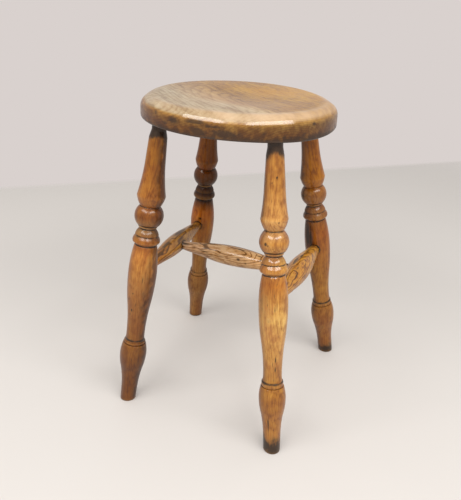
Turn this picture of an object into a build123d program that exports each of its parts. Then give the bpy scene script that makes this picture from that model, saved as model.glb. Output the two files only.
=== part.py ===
"""Round stool with four turned, splayed legs and an H stretcher.

A dished round seat is bored from below with four blind sockets, each at its own compound
angle.  The legs are turned to one pattern, socketed into the seat, splayed out to their feet
and trimmed level with the floor.  Two side stretchers are socketed into the legs below the
turned ring, and a cross stretcher is socketed into the middles of the side stretchers.
Millimetres.  +Z is up, X runs along the cross stretcher and -Y is the front.  The origin is on
the floor, at the middle of the stool's box.
"""
import os
from math import sqrt

from build123d import *

# ---- seat ----
seat_height = 508.0
seat_diameter = 298.0
seat_thickness = 34.0
dish_depth = 5.0
rim_round_width = 29.0  # how far the rounded upper edge reaches in from the side
rim_round_height = 20.0
rim_lower_radius = 3.0

# ---- each leg: where its axis passes the underside of the seat and meets the floor, both from the
# ---- seat's axis, how far below the top of its body the side stretcher is let in, and how much
# ---- thicker than the pattern it was left on the lathe ----
legs = {
    "front_left": {"socket": (-86.0, -94.0), "foot": (-122.0, -148.0), "joint_drop": 44.0, "spare": 1.5},
    "front_right": {"socket": (87.6, -93.4), "foot": (144.3, -162.2), "joint_drop": 42.0, "spare": 0.0},
    "back_left": {"socket": (-84.8, 94.5), "foot": (-127.2, 150.5), "joint_drop": 52.3, "spare": 1.4},
    "back_right": {"socket": (86.0, 94.0), "foot": (164.0, 141.4), "joint_drop": 53.5, "spare": 1.5},
}

# ---- leg turning, from the seat down: lengths and diameters ----
bare_tenon_length = 12.0
leg_tenon_diameter = 21.5
shoulder_length = 10.0
shoulder_diameter = 25.0
vase_neck_length = 40.0  # straight and slender, before the vase flares
vase_neck_diameter = 29.0
vase_length = 49.0
vase_diameter = 41.0
vase_base_length = 16.5
vase_base_bulge = 0.8
waist_diameter = 29.6  # where the vase meets the ball
ball_length = 30.5
ball_diameter = 43.0
ball_low_diameter = 31.5  # where the ball stands over the fillet
fillet_length = 3.2
fillet_diameter = 27.4
neck_length = 3.2
neck_diameter = 24.6
bell_length = 9.4
bell_diameter = 35.8
lip_length = 1.0  # the step in from the bell's lip to the top of the ring
ring_top_diameter = 34.4
ring_length = 12.4
ring_diameter = 41.0
ring_share = 0.72  # of the ring's length lies above its widest place
groove_length = 5.4
groove_depth = 1.4
body_top_diameter = 34.6
body_belly_drop = 47.0  # from the top of the body to its widest place
body_diameter = 43.6

# ---- leg turning, from the floor up: heights along the leg, and diameters ----
foot_diameter = 25.2
foot_edge_radius = 1.5
foot_height = 24.0
foot_top_diameter = 26.4
ankle_height = 91.0
ankle_diameter = 41.8
ankle_share = 0.35  # of the way to the foot is convex, and the rest is hollow
cuff_height = 112.4
cuff_length = 7.6
cuff_diameter = 32.6
cuff_swell = 0.5  # how far the cuff's face rounds out
cuff_line_depth = 0.6
ankle_top_diameter = 35.6
collar_length = 10.0
collar_diameter = 31.0
shin_diameter = 28.4

# ---- stretchers: widest at the middle, drawn down to a round tenon at each end ----
side_bellies = {"left": 32.0, "right": 37.3}
side_tenons = {"left": 15.0, "right": 18.0}
cross_belly = 34.4
cross_tenon = 14.5
straight_share = 0.62  # of each half, from the tenon on, is a straight taper

# ---- joints ----
leg_tenon_length = 24.0
side_tenon_length = 26.0
cross_tenon_length = 20.0
tenon_show = 1.5  # bare tenon left outside its socket before a stretcher's taper starts
glue_gap = 0.1  # all round a tenon
glue_pocket = 1.0  # beyond a tenon's end
drill_turn = 30.0  # degrees that a socket's seam line is turned from the upright or level plane

underside = seat_height - seat_thickness
body_top = (
    bare_tenon_length
    + shoulder_length
    + vase_neck_length
    + vase_length
    + vase_base_length
    + ball_length
    + fillet_length
    + neck_length
    + bell_length
    + lip_length
    + ring_length
    + groove_length
)


def ogee(start, end, along, share=1 / 2):
    """Two arcs that meet at a share of the way, and run in one direction at both ends."""
    turn = tuple(a + share * (b - a) for a, b in zip(start, end))
    back = tuple(-c for c in along)
    return [TangentArc(start, turn, tangent=along), TangentArc(end, turn, tangent=back)]


def easing(start, end):
    """Arc that runs along the leg where it starts."""
    return TangentArc(start, end, tangent=(0, end[1] - start[1]))


def revolved(curves):
    """Solid of revolution about Z, from the curves of its closed half outline."""
    half_section = make_face(Wire(curves))
    return revolve(Plane.XZ * half_section, Axis.Z)


def turned(diameter, place, spare):
    """Point of a leg's half outline, with what the leg was left thicker than the pattern."""
    return (diameter + spare) / 2, place


def leg_crown(spare):
    """Half outline of a leg from its tenon down to the top of its body."""
    tenon_corner = (leg_tenon_diameter / 2, leg_tenon_length)
    place = -bare_tenon_length
    tenon_foot = (leg_tenon_diameter / 2, place)
    place -= shoulder_length
    shoulder = turned(shoulder_diameter, place, spare)
    place -= vase_neck_length
    vase_neck = turned(vase_neck_diameter, place, spare)
    place -= vase_length
    vase_side = turned(vase_diameter, place, spare)
    place -= vase_base_length
    waist = turned(waist_diameter, place, spare)
    ball_side = turned(ball_diameter, place - ball_length / 2, spare)
    place -= ball_length
    ball_low = turned(ball_low_diameter, place, spare)
    fillet_high = turned(fillet_diameter, place, spare)
    place -= fillet_length
    fillet_low = turned(fillet_diameter, place, spare)
    neck_high = turned(neck_diameter, place, spare)
    place -= neck_length
    neck_low = turned(neck_diameter, place, spare)
    place -= bell_length
    bell_low = turned(bell_diameter, place, spare)
    place -= lip_length
    ring_high = turned(ring_top_diameter, place, spare)
    ring_side = turned(ring_diameter, place - ring_share * ring_length, spare)
    place -= ring_length
    ring_low = turned(body_top_diameter, place, spare)
    groove = turned(body_top_diameter - 2 * groove_depth, place - groove_length / 2, spare)
    body_high = turned(body_top_diameter, -body_top, spare)
    return [
        Line((0, leg_tenon_length), tenon_corner),
        Line(tenon_corner, tenon_foot),
        Line(tenon_foot, shoulder),
        Line(shoulder, vase_neck),
        TangentArc(vase_neck, vase_side, tangent=Vector(*vase_neck) - Vector(*shoulder)),
        SagittaArc(vase_side, waist, vase_base_bulge),
        ThreePointArc(waist, ball_side, ball_low),
        Line(ball_low, fillet_high),
        Line(fillet_high, fillet_low),
        Line(fillet_low, neck_high),
        Line(neck_high, neck_low),
        Line(neck_low, bell_low),
        Line(bell_low, ring_high),
        easing(ring_side, ring_high),
        easing(ring_side, ring_low),
        Line(ring_low, groove),
        Line(groove, body_high),
    ]


def leg_body_and_foot(length, spare):
    """Half outline of a leg of this length from the top of its body down past the floor."""
    floor = -length
    body_high = turned(body_top_diameter, -body_top, spare)
    belly = turned(body_diameter, -body_top - body_belly_drop, spare)
    shin = turned(shin_diameter, floor + cuff_height + cuff_length + collar_length, spare)
    collar = turned(collar_diameter, floor + cuff_height + cuff_length, spare)
    cuff_high = turned(cuff_diameter, floor + cuff_height + cuff_length, spare)
    cuff_side = turned(cuff_diameter + 2 * cuff_swell, floor + cuff_height + cuff_length / 2, spare)
    cuff_low = turned(cuff_diameter, floor + cuff_height, spare)
    cuff_line = turned(cuff_diameter - 2 * cuff_line_depth, floor + cuff_height - cuff_line_depth, spare)
    ankle_high = turned(ankle_top_diameter, floor + cuff_height - 2 * cuff_line_depth, spare)
    ankle = turned(ankle_diameter, floor + ankle_height, spare)
    foot_high = turned(foot_top_diameter, floor + foot_height, spare)
    below_floor = turned(2 * foot_diameter - foot_top_diameter, floor - foot_height, spare)
    return [
        easing(belly, body_high),
        *ogee(belly, shin, along=(0, -1)),
        easing(shin, collar),
        Line(collar, cuff_high),
        ThreePointArc(cuff_high, cuff_side, cuff_low),
        Line(cuff_low, cuff_line),
        Line(cuff_line, ankle_high),
        easing(ankle, ankle_high),
        *ogee(ankle, foot_high, along=(0, -1), share=ankle_share),
        Line(foot_high, below_floor),
        Line(below_floor, (0, below_floor[1])),
        Line((0, below_floor[1]), (0, leg_tenon_length)),
    ]


def stretcher(start, end, belly, tenon, tenon_length, sockets):
    """Round stretcher between two axes, whose hosts' radii are given in sockets."""
    span = (end - start).length
    low_neck = sockets[0] + tenon_show
    high_neck = span - sockets[1] - tenon_show
    low_tip = sockets[0] - tenon_length
    high_tip = span - sockets[1] + tenon_length
    middle = (belly / 2, (low_neck + high_neck) / 2)
    outline = [Line((0, low_tip), (0, high_tip))]
    taper_ends = []
    for neck, tip in ((low_neck, low_tip), (high_neck, high_tip)):
        half = middle[1] - neck
        slope = (belly - tenon) / (1 + straight_share) / half
        straight = straight_share * half
        taper_ends.append((tenon / 2 + slope * straight, neck + straight))
        outline += [
            Line((0, tip), (tenon / 2, tip)),
            Line((tenon / 2, tip), (tenon / 2, neck)),
            Line((tenon / 2, neck), taper_ends[-1]),
        ]
    outline.append(ThreePointArc(taper_ends[0], middle, taper_ends[1]))
    return Plane(origin=start, z_dir=end - start) * revolved(outline)


def socket(mouth, inward, tenon, depth):
    """Drilled hole with room for a tenon, from well outside its mouth to past the tenon's end."""
    drill = Cylinder(
        tenon / 2 + glue_gap,
        2 * depth + glue_pocket,
        align=(Align.CENTER, Align.CENTER, Align.MAX),
    )
    bottom = mouth + inward.normalized() * (depth + glue_pocket)
    return Plane(origin=bottom, z_dir=inward) * Rotation(0, 0, drill_turn) * drill


def seat_board():
    """Dished round board with a rounded upper edge, before its sockets are bored."""
    radius = seat_diameter / 2
    crest = (radius - rim_round_width, seat_height)
    side_high = (radius, seat_height - rim_round_height)
    side_low = (radius, underside + rim_lower_radius)
    bottom_edge = (radius - rim_lower_radius, underside)
    dish_middle = (0, seat_height - dish_depth)
    # Two arcs round the edge over. They meet where the surface slopes at 45 degrees.
    flatter = rim_round_height + (rim_round_width - rim_round_height) / (2 - sqrt(2))
    knee = (crest[0] + flatter / sqrt(2), crest[1] - flatter * (1 - 1 / sqrt(2)))
    return revolved(
        [
            Line((0, underside), bottom_edge),
            TangentArc(bottom_edge, side_low, tangent=(1, 0)),
            Line(side_low, side_high),
            TangentArc(side_high, knee, tangent=(0, 1)),
            TangentArc(crest, knee, tangent=(1, 0)),
            *ogee(crest, dish_middle, along=(-1, 0)),
            Line(dish_middle, (0, underside)),
        ]
    )


def leg_axis(leg):
    """Points where a leg's axis passes the seat's underside and meets the floor."""
    return Vector(*leg["socket"], underside), Vector(*leg["foot"], 0)


def joint_place(leg):
    """Point on a leg's axis where its side stretcher is let in."""
    top, foot = leg_axis(leg)
    return top + (foot - top).normalized() * (body_top + leg["joint_drop"])


def body_radius(leg):
    """Radius of a leg at the widest place of its body."""
    return (body_diameter + leg["spare"]) / 2


# ---- build ----
stool = {"seat": seat_board()}

for name, leg in legs.items():
    top, foot = leg_axis(leg)
    outline = leg_crown(leg["spare"]) + leg_body_and_foot((foot - top).length, leg["spare"])
    standing = split(Plane(origin=top, z_dir=top - foot) * revolved(outline), bisect_by=Plane.XY)
    sole_edge = standing.edges().group_by(Axis.Z)[0]
    stool["leg_" + name] = fillet(sole_edge, foot_edge_radius)
    stool["seat"] -= socket(top, top - foot, leg_tenon_diameter, leg_tenon_length)

middles = {}
for side in side_bellies:
    front_leg = legs["front_" + side]
    back_leg = legs["back_" + side]
    front = joint_place(front_leg)
    back = joint_place(back_leg)
    middles[side] = (front + back) / 2
    stool["side_stretcher_" + side] = stretcher(
        front,
        back,
        side_bellies[side],
        side_tenons[side],
        side_tenon_length,
        (body_radius(front_leg), body_radius(back_leg)),
    )
    for end, place, inward in (("front_", front, front - back), ("back_", back, back - front)):
        mouth = place - inward.normalized() * body_radius(legs[end + side])
        stool["leg_" + end + side] -= socket(mouth, inward, side_tenons[side], side_tenon_length)

stool["cross_stretcher"] = stretcher(
    middles["left"],
    middles["right"],
    cross_belly,
    cross_tenon,
    cross_tenon_length,
    (side_bellies["left"] / 2, side_bellies["right"] / 2),
)
across = (middles["right"] - middles["left"]).normalized()
for side, inward in (("left", -across), ("right", across)):
    mouth = middles[side] - inward * side_bellies[side] / 2
    stool["side_stretcher_" + side] -= socket(mouth, inward, cross_tenon, cross_tenon_length)

# ---- put the origin on the floor at the middle of the box, and write each piece ----
box = Compound(list(stool.values())).bounding_box()
to_origin = Location((-box.center().X, -box.center().Y, 0))

os.makedirs("parts", exist_ok=True)
for name, piece in stool.items():
    placed = to_origin * piece
    placed.label = name
    export_step(placed, f"parts/{name}.step")
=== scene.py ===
import math

import bpy
import numpy as np
from mathutils import Matrix, Vector


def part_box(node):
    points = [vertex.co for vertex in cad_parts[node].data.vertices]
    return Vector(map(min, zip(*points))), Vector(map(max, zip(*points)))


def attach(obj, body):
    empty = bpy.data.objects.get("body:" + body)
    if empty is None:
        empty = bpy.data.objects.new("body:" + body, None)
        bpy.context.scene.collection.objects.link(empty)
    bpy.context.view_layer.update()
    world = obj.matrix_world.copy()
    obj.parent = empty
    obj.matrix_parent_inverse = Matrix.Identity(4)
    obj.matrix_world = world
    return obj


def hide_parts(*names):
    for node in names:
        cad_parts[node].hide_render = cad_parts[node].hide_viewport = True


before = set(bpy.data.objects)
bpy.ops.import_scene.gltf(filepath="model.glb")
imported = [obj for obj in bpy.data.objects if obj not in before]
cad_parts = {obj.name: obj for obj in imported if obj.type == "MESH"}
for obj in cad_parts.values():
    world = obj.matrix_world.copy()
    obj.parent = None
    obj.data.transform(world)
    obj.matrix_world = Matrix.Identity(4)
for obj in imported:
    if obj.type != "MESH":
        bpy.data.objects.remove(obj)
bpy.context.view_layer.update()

# A round stool: a dished elm seat on four turned, splayed legs, held by three rods in an H.
# Sizes are in millimetres, and angles in the dictionaries in degrees. Points are in the frame's own
# axes, and meshes are written in metres. An outline is an array of complex numbers: radius + 1j * distance
# along the axis.

metre = 0.001
outlineStep = 0.1


def bow(start, end, lean=0.0):
    # Circle's arc from start to end. lean is the angle from the chord to the arc's first direction:
    # start + chord * sin(lean t) / sin(lean) * e^(i lean (1 - t)), a straight line where lean is 0
    steps = max(3, int(1.2 * abs(end - start) / outlineStep))  # an arc is longer than its chord
    t = np.linspace(0, 1, steps)
    reach = t if abs(lean) < 1e-9 else np.sin(lean * t) / np.sin(lean)
    return start + (end - start) * reach * np.exp(1j * lean * (1 - t))


def bowAlong(start, end, along):
    # Arc that leaves the start in the direction along
    return bow(start, end, np.angle(along / (end - start)))


def bowThrough(start, middle, end):
    # Arc through three points: its lean is the turn at the middle one, the other way
    return bow(start, end, -np.angle((end - middle) / (middle - start)))


def bowOut(start, end, height):
    # Arc that stands out by this height from its chord, away from the axis, with a lean of
    # -2 atan(2 height / chord)
    return bow(start, end, -2 * math.atan(2 * height / abs(end - start)))


def ogee(start, end, along, share=0.5):
    # Two arcs that meet at a share of the way and run in one direction at both ends
    turn = start + share * (end - start)
    return [bowAlong(start, turn, along), bowAlong(end, turn, -along)[::-1]]


def averaged(line, width, span):
    # Each point averaged with those beside it, weighed by e^(-(distance / width)^2 / 2), for span widths
    reach = int(span * width / outlineStep)
    bell = np.exp(-0.5 * (np.arange(-reach, reach + 1) * outlineStep / width) ** 2)
    return np.convolve(np.pad(line, reach, "edge"), bell / bell.sum(), "valid")


def softened(curves, edgeWear):
    # The curves joined, sampled at even steps along them, and averaged over the width of the edges' wear
    line = np.concatenate(curves)
    gone = np.concatenate([[0], np.cumsum(np.abs(np.diff(line)))])
    line = np.interp(np.arange(0, gone[-1], outlineStep), gone, line)
    return averaged(line, edgeWear, 4)


def hollows(line, width):
    # How far each point lies inside the average over this width: more than 0 in a groove, less on an edge
    return averaged(line.real, width, 3) - line.real


def rowsOf(count, bendShare, line, *others):
    # Rows of the line, and of what goes with it, spaced as 1 / (1 + bendShare * bend / mean bend)
    bend = np.abs(np.gradient(np.unwrap(np.angle(np.gradient(line)))))
    density = 1 + bendShare * bend / bend.mean()
    places = np.linspace(0, 1, count)[1:-1]
    return [np.interp(places, np.cumsum(density) / density.sum(), values) for values in (line, *others)]


def directionsRound(columns):
    # Even directions round a piece, in one row, from 0 to just under a full turn
    return np.linspace(0, 2 * math.pi, columns, endpoint=False)[None, :]


def turnFrom(direction, around):
    # The turn from one direction to others, the short way: the angle of e^(i (around - direction))
    return np.angle(np.exp(1j * (around - direction)))


def eased(share):
    # share^2 (3 - 2 share): from 0 to 1 with a soft start and a soft end
    return share * share * (3 - 2 * share)


def graded(places, steps):
    # The value at every place, in a straight line between the steps given: (place, value)
    return np.interp(places, *zip(*steps))


def tintAt(places, stainsAndPaintedLight):
    # The tint at every place, graded part by part between those given: (place, (red, green, blue))
    return np.stack([graded(places, [(place, stainAndPaintedLight[part]) for place, stainAndPaintedLight in stainsAndPaintedLight])
                     for part in range(3)], -1)


class Axis:
    # A piece's own axes: w from start to end, u as near to side as it can be, and v = w x u
    def __init__(self, start, end, side):
        self.start = np.array(start, float)
        self.length = np.linalg.norm(np.subtract(end, start))
        self.w = np.subtract(end, start) / self.length
        self.u = np.subtract(side, np.dot(side, self.w) * self.w)
        self.u /= np.linalg.norm(self.u)
        self.v = np.cross(self.w, self.u)

    def at(self, place):
        # start + w place
        return self.start + self.w * place

    def spun(self, radius, along, around):
        # start + w along + radius (u cos around + v sin around), for whole arrays at once
        out = np.cos(around)[..., None] * self.u + np.sin(around)[..., None] * self.v
        return self.start + along[..., None] * self.w + radius[..., None] * out


def slowWaves(along, around, seed, waveLength):
    # Sum of cos(turn around + pitch along + phase) over waves that each go a whole number of times
    # round, at a drawn pitch and phase, brought to about -1 to 1
    draw = np.random.default_rng(seed)
    total = np.zeros(np.broadcast(along, around).shape)
    turns = (1, 2, 2, 3, 3, 4, 5)
    for turn in turns:
        pitch = draw.uniform(-2 * math.pi, 2 * math.pi) / waveLength
        total += np.cos(turn * around + pitch * along + draw.uniform(0, 2 * math.pi))
    return total / len(turns) ** 0.5 / 1.5


def dents(along, around, radius, seed, wear):
    # Sum of bell-shaped hollows: depth * e^(-(distance / width)^2), at drawn places and sizes
    draw = np.random.default_rng(seed)
    count = wear["dents"]
    place = draw.uniform(along.min(), along.max(), count)
    direction = draw.uniform(0, 2 * math.pi, count)
    width = draw.uniform(*wear["dentWidth"], count)
    depth = draw.uniform(0, 1, count) ** 2 * wear["dentDepth"]
    total = np.zeros(np.broadcast(along, around).shape)
    for n in range(count):
        across = turnFrom(direction[n], around) * radius
        total += depth[n] * np.exp(-(across ** 2 + (along - place[n]) ** 2) / width[n] ** 2)
    return total


def smudges(along, around, radius, places):
    # Largest of some soft spots: strength * e^-((distance along / length)^2 + (distance round / width)^2)
    total = np.zeros(np.broadcast(along, around).shape)
    for place, degrees, length, width, strength in places:
        across = turnFrom(math.radians(degrees), around) * radius
        spot = strength * np.exp(-(across / width) ** 2 - ((along - place) / length) ** 2)
        total = np.maximum(total, spot)
    return total


def jointDirtAndShade(points, hosts, reach):
    # e^(-distance / reach) from the nearest of the pieces beside it, each given as an axis and a radius
    dirtAndShade = np.zeros(points.shape[:-1])
    for host, radius in hosts:
        offset = points - host.start
        along = offset @ host.w
        away = np.linalg.norm(offset - along[..., None] * host.w, axis=-1) - radius
        beside = (along > 0) & (along < host.length)
        dirtAndShade = np.maximum(dirtAndShade, beside * np.exp(-np.clip(away, 0, None) / reach))
    return dirtAndShade


def skin(name, points, ends, marks):
    # Closed skin over a grid of rings (rows, columns, 3), each end gathered in one point.
    # Quads join each ring to the next, and the last column joins the first.
    rows, columns = points.shape[:2]
    index = 2 + np.arange(rows * columns).reshape(rows, columns)
    after = np.roll(index, -1, axis=1)
    quads = np.stack([index[:-1], after[:-1], after[1:], index[1:]], -1).reshape(-1, 4)
    firstFan = np.stack([np.full(columns, 0), after[0], index[0]], -1)
    lastFan = np.stack([np.full(columns, 1), index[-1], after[-1]], -1)
    corners = np.concatenate([quads.ravel(), firstFan.ravel(), lastFan.ravel()])
    sides = np.repeat([4, 3], [len(quads), 2 * columns])
    mesh = bpy.data.meshes.new(name)
    mesh.vertices.add(2 + rows * columns)
    mesh.loops.add(len(corners))
    mesh.polygons.add(len(sides))
    vertices = np.concatenate([ends, points.reshape(-1, 3)]) * metre
    mesh.vertices.foreach_set("co", vertices.astype(np.float32).ravel())
    mesh.loops.foreach_set("vertex_index", corners.astype(np.int32))
    mesh.polygons.foreach_set("loop_start", np.concatenate([[0], np.cumsum(sides)[:-1]]).astype(np.int32))
    mesh.polygons.foreach_set("use_smooth", np.ones(len(sides), bool))
    for mark, values in marks.items():
        colour = np.ndim(values) == 3
        layer = mesh.attributes.new(mark, "FLOAT_VECTOR" if colour else "FLOAT", "POINT")
        full = np.broadcast_to(values, (rows, columns, 3) if colour else (rows, columns))
        full = full.reshape(rows * columns, -1)
        full = np.concatenate([full[[0, -1]], full]).astype(np.float32)
        layer.data.foreach_set("vector" if colour else "value", full.ravel())
    mesh.update(calc_edges=True)
    mesh.validate()
    piece = bpy.data.objects.new(name, mesh)
    bpy.context.scene.collection.objects.link(piece)
    return piece


def addPiece(piece, node, material):
    # The finished piece rides on the stool's one body, in the place of its node
    piece.data.materials.append(material)
    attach(piece, "root")
    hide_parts(node)
    print("made", piece.name, "of", len(piece.data.polygons), "faces")


def put(tree, kind, inputs, output=0, **settings):
    # One node with its options, each input fed by a value or by another node's output
    made = tree.nodes.new("ShaderNode" + kind)
    for key, value in settings.items():
        setattr(made, key, value)
    for key, value in inputs.items():
        if isinstance(value, bpy.types.NodeSocket):
            tree.links.new(value, made.inputs[key])
        else:
            made.inputs[key].default_value = value
    return made.outputs[output]


def calc(tree, operation, *values, clamp=False):
    # One step of reckoning with numbers, such as a * b + c for MULTIPLY_ADD
    return put(tree, "Math", dict(enumerate(values)), operation=operation, use_clamp=clamp)


def vectorCalc(tree, operation, *values, output=0):
    # The same with points, part by part. Output 1 is a number, such as a length
    return put(tree, "VectorMath", dict(enumerate(values)), output, operation=operation)


def mixed(tree, share, first, second, blend="MIX"):
    # first + share (second - first), or with MULTIPLY first * (1 + share (second - 1))
    inputs = {0: share, 6: first, 7: second}
    return put(tree, "Mix", inputs, 2, data_type="RGBA", blend_type=blend, clamp_factor=True)


def ranged(tree, value, low, high, first=0.0, last=1.0):
    # first below low, last above high, and between them first + (last - first) t^2 (3 - 2 t)
    inputs = {0: value, 1: low, 2: high, 3: first, 4: last}
    return put(tree, "MapRange", inputs, interpolation_type="SMOOTHSTEP")


def noise(tree, point, size, stretch, detail, output, shift):
    # Blobs of about this size, stretched along the grain: noise at ((x, y, z / stretch) + shift) / size.
    # Output 0 is a number and output 1 a colour, which serves as a point
    scaled = vectorCalc(tree, "MULTIPLY", point, (1, 1, 1 / stretch))
    moved = vectorCalc(tree, "ADD", scaled, (shift, shift * 0.7, shift * 1.3))
    inputs = {"Vector": moved, "Scale": 1 / size, "Detail": detail, "Roughness": 0.55}
    return put(tree, "TexNoise", inputs, output)


def markOn(tree, mark, output=2):
    # A mark that the piece's skin carries: output 2 is its number and output 1 its colour
    return put(tree, "Attribute", {}, output, attribute_name=mark)


def toneRamp(tree, share, tones):
    # Colour read off a strip, even between the tones given: (share, colour)
    ramp = tree.nodes.new("ShaderNodeValToRGB")
    tree.links.new(share, ramp.inputs[0])
    elements = ramp.color_ramp.elements
    elements[0].position, elements[0].color = tones[0][0], (*tones[0][1], 1)
    elements[1].position, elements[1].color = tones[-1][0], (*tones[-1][1], 1)
    for place, colour in tones[1:-1]:
        elements.new(place).color = (*colour, 1)
    return ramp.outputs[0]


def screenColour(red, green, blue):
    # A screen colour from 0 to 255 as the linear colour that nodes work in: ((share + 0.055) / 1.055)^2.4,
    # and share / 12.92 near black
    share = np.array([red, green, blue]) / 255
    return tuple(np.where(share <= 0.04045, share / 12.92, ((share + 0.055) / 1.055) ** 2.4))


def piecePoint(tree, axis):
    # Point in the piece's own axes, in millimetres, its third axis along the grain
    turn = Matrix([axis.u, axis.v, axis.w]).transposed().to_euler()
    place = put(tree, "TexCoord", {}, 3)
    inputs = {0: place, 1: Vector(axis.start * metre), 2: turn, 3: (metre,) * 3}
    return put(tree, "Mapping", inputs, vector_type="TEXTURE")


# The blobs that make up every wood's figure: how far each kind is stretched along the grain, its
# detail, and what it adds to the wood's seed
figure = {
    "breadth": (6, 1, 3),
    "fibre": (26, 3, 7),
    "streak": (14, 2, 11),
    "mottle": (1.6, 3, 13),
    "patch": (2.2, 2, 17),
    "drift": (1.5, 2, 19),
    "pore": (9, 1, 23),
}

# What all the old waxed woods share
oldSurface = {
    "breadthSize": 40.0,  # size of the blobs by which the rings stray from even widths
    "breadthStray": 2.5,  # and how many rings they stray
    "ringBalance": 0.35,  # share of the rings' depth given back, so that the mean tone stays
    "lateFrom": 0.86,
    "driftRange": (0.45, 0.68),
    "poreSoftness": 0.09,
    "poreInLate": 0.4,
    "spotStretch": 0.45,
    "spotSoftness": 0.45,
    "spotStrength": 0.8,
    "shadeBreak": (3.0, -0.8),  # mottling times the first, plus the second
    "darkeningBreak": 1.4,
    "darkeningRange": (0.12, 0.85),
    "paleBreak": (0.3, 0.6, 0.35, 1.0),  # patch from and to, paler there from and to
    "dullInMottle": 0.16,
    "dullInDarkening": 0.15,
    "dullInPores": 0.12,
    "riseOfRings": -0.5,
    "riseOfPores": -0.8,
    "riseOfFibre": 0.5,
    "riseOfSpots": -0.6,
}


def woodFinish(name, axis, wood):
    # Waxed old wood. Its tone is 0.5, less ring * its depth, plus (blobs - 0.5) * their depth for each kind,
    # read off the strip of tones. Over it come a drifting hue, pores, knocked-in spots, stain with painted
    # light, dark polish with painted shade, dirt with painted shade in the hollows, and paler edges, worn and
    # with painted highlights.
    material = bpy.data.materials.new(name)
    material.use_nodes = True
    tree = material.node_tree
    shader = tree.nodes["Principled BSDF"]
    wood = {**oldSurface, **wood}
    seed = wood["seed"]
    point = piecePoint(tree, axis)

    def figured(kind, place):
        # One kind of the figure's blobs, at the size that this wood gives it
        stretch, detail, shift = figure[kind]
        return noise(tree, place, wood[kind + "Size"], stretch, detail, 0, seed + shift)

    def blackened(colour, share):
        # The colour with this share of the darkest tone
        return mixed(tree, share, colour, (*wood["darkest"], 1))

    # the grain wanders by a slow noise, stretched along it
    wander = noise(tree, point, wood["wanderSize"], wood["wanderStretch"], 1.5, 1, seed)
    wander = vectorCalc(tree, "MULTIPLY_ADD", wander, (wood["wander"],) * 3, (-wood["wander"] / 2,) * 3)
    grain = vectorCalc(tree, "ADD", point, wander)

    # rings: distance from a leaning pith, over the ring's width, with its whole number taken off
    along = put(tree, "SeparateXYZ", {0: grain}, 2)
    lean = put(tree, "CombineXYZ", {0: calc(tree, "MULTIPLY", along, wood["pithLean"])})
    flat = vectorCalc(tree, "MULTIPLY", vectorCalc(tree, "SUBTRACT", grain, lean), (1, 1, 0))
    radial = vectorCalc(tree, "DISTANCE", flat, (*wood["pith"], 0), output=1)
    even = calc(tree, "DIVIDE", radial, wood["ringWidth"])
    turns = calc(tree, "MULTIPLY_ADD", figured("breadth", grain), wood["breadthStray"], even)
    phase = calc(tree, "FRACT", turns)
    early = ranged(tree, phase, 0.0, wood["earlyShare"], 1.0, 0.0)
    late = ranged(tree, phase, wood["lateFrom"], 1.0, 0.0, 1.0)
    ring = calc(tree, "MAXIMUM", early, late)

    fibre = figured("fibre", grain)
    streak = figured("streak", grain)
    mottle = figured("mottle", point)
    patch = figured("patch", point)
    tone = calc(tree, "MULTIPLY_ADD", ring, -wood["ringDepth"], 0.5 + wood["ringDepth"] * wood["ringBalance"])
    for blobs, depth in ((fibre, "fibreDepth"), (streak, "streakDepth"),
                         (mottle, "mottleDepth"), (patch, "patchDepth")):
        tone = calc(tree, "MULTIPLY_ADD", calc(tree, "SUBTRACT", blobs, 0.5), wood[depth], tone)
    colour = toneRamp(tree, tone, wood["tones"])

    # the stain drifts between two hues over a hand's breadth
    drift = ranged(tree, figured("drift", point), *wood["driftRange"], 0, wood["driftShare"])
    colour = mixed(tree, drift, colour, (*wood["driftColour"], 1))

    # pores: short dark dashes along the grain, more of them in the early wood
    pores = ranged(tree, figured("pore", grain), wood["poreLevel"], wood["poreLevel"] + wood["poreSoftness"])
    inEarly = calc(tree, "MULTIPLY_ADD", ring, 1 - wood["poreInLate"], wood["poreInLate"])
    pores = calc(tree, "MULTIPLY", pores, inEarly)
    colour = blackened(colour, calc(tree, "MULTIPLY", pores, wood["poreDepth"]))

    # sparse spots and dashes of old dirt, knocked in
    cells = vectorCalc(tree, "MULTIPLY", grain, (1, 1, wood["spotStretch"]))
    spotInputs = {"Vector": vectorCalc(tree, "ADD", cells, (seed, 0, seed)), "Scale": 1 / wood["spotSpacing"]}
    away = put(tree, "TexVoronoi", spotInputs, 0)
    spots = ranged(tree, away, wood["spotSize"], wood["spotSize"] * wood["spotSoftness"])
    chosen = put(tree, "SeparateColor", {0: put(tree, "TexVoronoi", spotInputs, 1)}, 0)
    chosen = ranged(tree, chosen, 1 - wood["spotShare"], 1.01 - wood["spotShare"])
    spots = calc(tree, "MULTIPLY", spots, chosen)
    colour = blackened(colour, calc(tree, "MULTIPLY", spots, wood["spotStrength"]))

    # each piece's own stain, which changes down its length, with painted light and shade in it
    colour = mixed(tree, 1.0, colour, markOn(tree, "stainAndPaintedLight", 1), "MULTIPLY")

    # painted shade and darker old polish, its edge broken up by the mottling
    broken = calc(tree, "MULTIPLY_ADD", mottle, *wood["shadeBreak"])
    shade = calc(tree, "MULTIPLY", markOn(tree, "shade"), broken, clamp=True)
    colour = mixed(tree, shade, colour, (*wood["shadeTint"], 1), "MULTIPLY")

    # dirt and painted shade in the hollows, round the joints and under the seat, its edge broken up, and
    # paler edges, worn and with painted highlights
    uneven = calc(tree, "SUBTRACT", mottle, 0.5)
    broken = calc(tree, "MULTIPLY_ADD", uneven, wood["darkeningBreak"], markOn(tree, "darkening"))
    darkening = calc(tree, "MULTIPLY", ranged(tree, broken, *wood["darkeningRange"]), wood["darkeningDepth"])
    colour = blackened(colour, darkening)
    paleness = calc(tree, "MULTIPLY", markOn(tree, "paleness"), ranged(tree, patch, *wood["paleBreak"]))
    colour = mixed(tree, calc(tree, "MULTIPLY", paleness, wood["paleDepth"]), colour, (*wood["paleColour"], 1))
    tree.links.new(colour, shader.inputs["Base Color"])
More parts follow.
